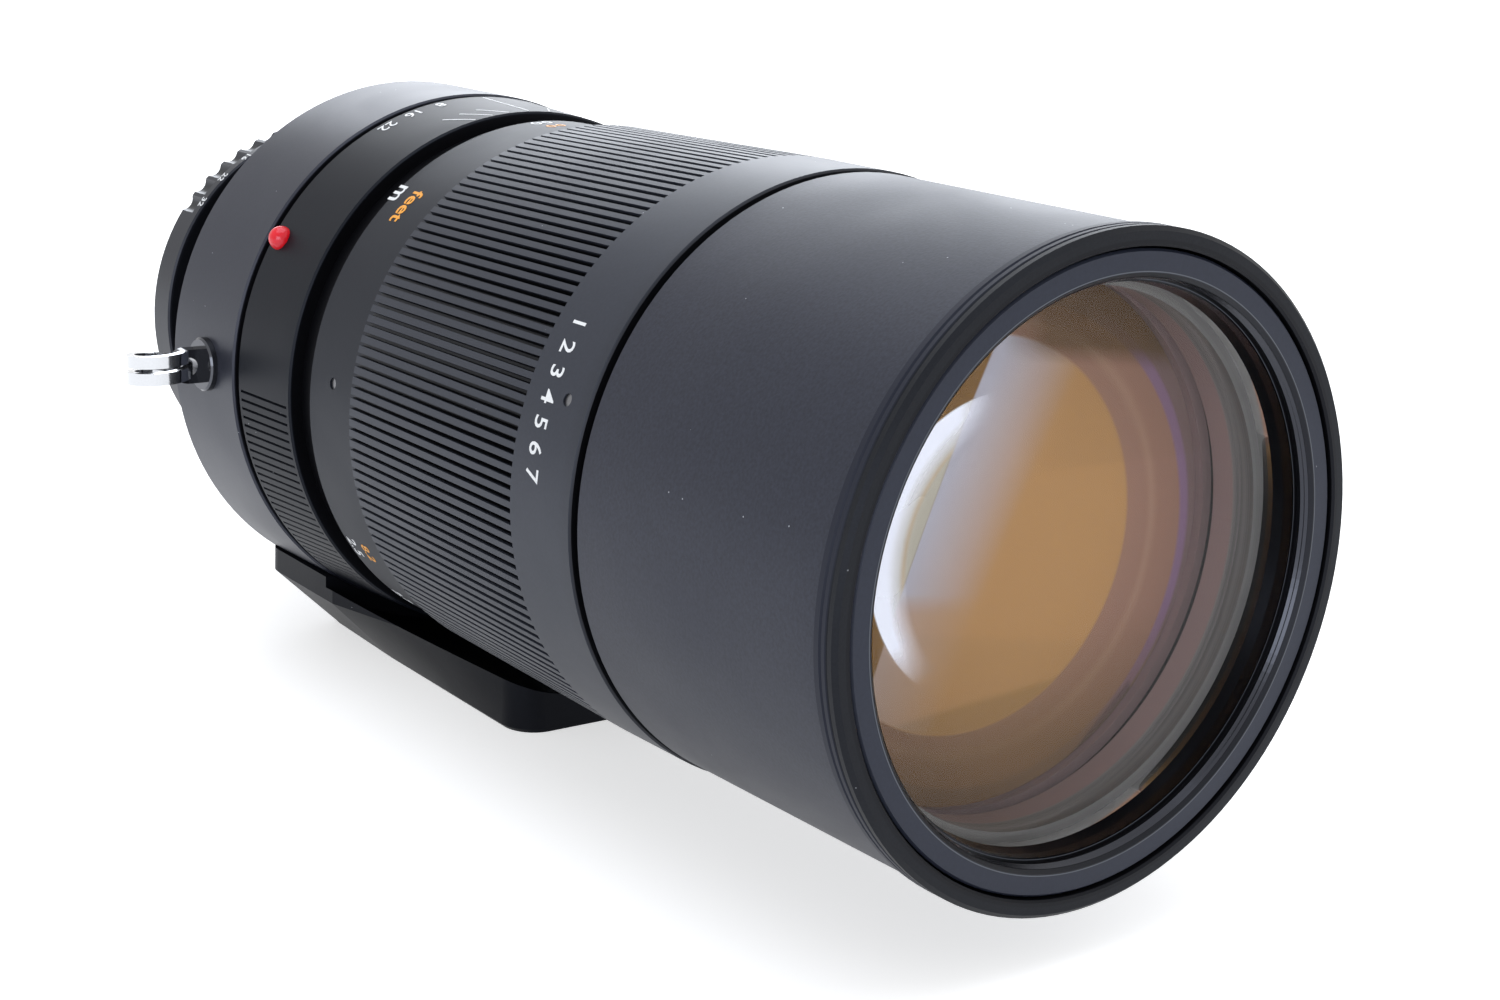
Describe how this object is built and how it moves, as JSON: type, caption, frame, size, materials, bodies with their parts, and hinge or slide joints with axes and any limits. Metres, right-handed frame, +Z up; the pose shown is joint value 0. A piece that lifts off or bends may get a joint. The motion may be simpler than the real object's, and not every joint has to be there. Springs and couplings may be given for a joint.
{
  "type": "telephoto lens",
  "caption": "Telephoto camera lens with a sliding hood, ribbed focusing ring, turning tripod collar with a foot, aperture ring and bayonet mount.",
  "frame": {"origin": "centre of the mount's flange face, on the optical axis", "axes": "+Y along the optical axis toward the camera, +Z up away from the foot, +X to the right as seen from the front"},
  "size_m": [0.115, 0.2136, 0.0959],
  "materials": {
    "barrel_black": "satin black anodised",
    "inner_black": "matte black anodised",
    "cam_metal": "fine turned",
    "brass_black": "matte black paint",
    "lip_rubber": "smooth",
    "lens_glass": "polished and coated",
    "bead_red": "gloss",
    "mount_chrome": "satin plated",
    "ring_chrome": "bright plated",
    "lug_black": "satin black",
    "pin_brass": "turned",
    "thread_steel": "turned",
    "screw_steel": "blackened",
    "blade_black": "matte black steel"
  },
  "bodies": {
    "barrel": {"filter_ring": "barrel_black", "front_barrel": "inner_black", "front_retainer": "inner_black", "front_cell": "inner_black", "element_1": "lens_glass", "element_2": "lens_glass", "element_3": "lens_glass", "spacer_front": "inner_black", "spacer_rear": "inner_black", "main_tube": "inner_black", "stray_light_baffle": "inner_black", "depth_scale_band": "barrel_black", "index_bead": "bead_red", "iris_housing": "brass_black", "iris_snap_ring": "screw_steel", "rear_cell": "brass_black", "rear_cell_retainers": "brass_black", "element_6": "lens_glass", "element_7": "lens_glass", "rear_barrel": "barrel_black", "aperture_click_ball": "screw_steel", "bayonet_mount": "mount_chrome", "mount_screws": "mount_chrome", "light_shade": "inner_black"},
    "hood": {"hood_tube": "barrel_black", "hood_lip": "lip_rubber", "hood_guide_ring": "inner_black"},
    "focusing_ring": {"focus_grip": "barrel_black", "scale_ring": "barrel_black", "grip_set_screws": "screw_steel", "scale_set_screws": "screw_steel", "focus_cam_sleeve": "cam_metal"},
    "focusing_cell": {"focus_cell": "inner_black", "focus_cell_retainer": "inner_black", "focus_pins": "pin_brass", "element_4": "lens_glass", "element_5": "lens_glass"},
    "tripod_collar": {"collar": "barrel_black", "collar_click_ball": "screw_steel", "foot": "barrel_black", "foot_screws": "screw_steel", "tripod_bush_large": "thread_steel", "tripod_bush_small": "thread_steel", "strap_lug_left": "lug_black", "strap_lug_right": "lug_black"},
    "left_strap_ring": {"strap_ring_left": "ring_chrome"},
    "right_strap_ring": {"strap_ring_right": "ring_chrome"},
    "stop_ring": {"aperture_ring": "barrel_black"},
    "iris_ring": {"iris_drive_ring": "inner_black"},
    "stop_lever": {"stop_down_lever": "screw_steel"},
    "iris_blade_1_body": {"iris_blade_1": "blade_black"},
    "iris_blade_2_body": {"iris_blade_2": "blade_black"},
    "iris_blade_3_body": {"iris_blade_3": "blade_black"},
    "iris_blade_4_body": {"iris_blade_4": "blade_black"},
    "iris_blade_5_body": {"iris_blade_5": "blade_black"},
    "iris_blade_6_body": {"iris_blade_6": "blade_black"},
    "iris_blade_7_body": {"iris_blade_7": "blade_black"},
    "iris_blade_8_body": {"iris_blade_8": "blade_black"}
  },
  "joints": [
    {"name": "hood_slide", "type": "slide", "parent": "barrel", "child": "hood", "axis": [0, -1, 0], "range_m": [0, 0.046]},
    {"name": "focus_turn", "type": "hinge", "parent": "barrel", "child": "focusing_ring", "pos_m": [0, -0.1, 0], "axis": [0, -1, 0], "range_deg": [-13, 247]},
    {"name": "focus_cell_slide", "type": "slide", "parent": "barrel", "child": "focusing_cell", "axis": [0, 1, 0], "range_m": [-0.00064, 0.01201]},
    {"name": "collar_turn", "type": "hinge", "parent": "barrel", "child": "tripod_collar", "pos_m": [0, -0.0455, 0], "axis": [0, -1, 0], "continuous": true},
    {"name": "left_ring_swing", "type": "hinge", "parent": "tripod_collar", "child": "left_strap_ring", "pos_m": [-0.0477, -0.0455, 0], "axis": [0, 1, 0], "range_deg": [-50, 50]},
    {"name": "right_ring_swing", "type": "hinge", "parent": "tripod_collar", "child": "right_strap_ring", "pos_m": [0.0477, -0.0455, 0], "axis": [0, 1, 0], "range_deg": [-50, 50]},
    {"name": "aperture_turn", "type": "hinge", "parent": "barrel", "child": "stop_ring", "pos_m": [0, -0.00455, 0], "axis": [0, 1, 0], "range_deg": [0, 60]},
    {"name": "iris_ring_turn", "type": "hinge", "parent": "barrel", "child": "iris_ring", "pos_m": [0, -0.0644, 0], "axis": [0, 1, 0], "range_deg": [0, 20]},
    {"name": "stop_lever_turn", "type": "hinge", "parent": "barrel", "child": "stop_lever", "pos_m": [0, -0.0117, 0], "axis": [0, 1, 0], "range_deg": [0, 24], "stiffness_Nm_per_rad": 0.004, "springref_deg": -20.05},
    {"name": "iris_blade_1_swing", "type": "hinge", "parent": "barrel", "child": "iris_blade_1_body", "pos_m": [0.0315, -0.0615, 0], "axis": [0, -1, 0], "range_deg": [0, 31]},
    {"name": "iris_blade_2_swing", "type": "hinge", "parent": "barrel", "child": "iris_blade_2_body", "pos_m": [0.02227, -0.0615, 0.02227], "axis": [0, -1, 0], "range_deg": [0, 31]},
    {"name": "iris_blade_3_swing", "type": "hinge", "parent": "barrel", "child": "iris_blade_3_body", "pos_m": [0, -0.0615, 0.0315], "axis": [0, -1, 0], "range_deg": [0, 31]},
    {"name": "iris_blade_4_swing", "type": "hinge", "parent": "barrel", "child": "iris_blade_4_body", "pos_m": [-0.02227, -0.0615, 0.02227], "axis": [0, -1, 0], "range_deg": [0, 31]},
    {"name": "iris_blade_5_swing", "type": "hinge", "parent": "barrel", "child": "iris_blade_5_body", "pos_m": [-0.0315, -0.0615, 0], "axis": [0, -1, 0], "range_deg": [0, 31]},
    {"name": "iris_blade_6_swing", "type": "hinge", "parent": "barrel", "child": "iris_blade_6_body", "pos_m": [-0.02227, -0.0615, -0.02227], "axis": [0, -1, 0], "range_deg": [0, 31]},
    {"name": "iris_blade_7_swing", "type": "hinge", "parent": "barrel", "child": "iris_blade_7_body", "pos_m": [0, -0.0615, -0.0315], "axis": [0, -1, 0], "range_deg": [0, 31]},
    {"name": "iris_blade_8_swing", "type": "hinge", "parent": "barrel", "child": "iris_blade_8_body", "pos_m": [0.02227, -0.0615, -0.02227], "axis": [0, -1, 0], "range_deg": [0, 31]}
  ],
  "couplings": [
    {"joint": "focus_cell_slide", "follows": "focus_turn", "m_per_rad": 0.0027836},
    {"joint": "iris_ring_turn", "follows": "aperture_turn", "ratio": 0.33333},
    {"joint": "iris_blade_1_swing", "follows": "aperture_turn", "ratio": 0.51667},
    {"joint": "iris_blade_2_swing", "follows": "aperture_turn", "ratio": 0.51667},
    {"joint": "iris_blade_3_swing", "follows": "aperture_turn", "ratio": 0.51667},
    {"joint": "iris_blade_4_swing", "follows": "aperture_turn", "ratio": 0.51667},
    {"joint": "iris_blade_5_swing", "follows": "aperture_turn", "ratio": 0.51667},
    {"joint": "iris_blade_6_swing", "follows": "aperture_turn", "ratio": 0.51667},
    {"joint": "iris_blade_7_swing", "follows": "aperture_turn", "ratio": 0.51667},
    {"joint": "iris_blade_8_swing", "follows": "aperture_turn", "ratio": 0.51667}
  ]
}
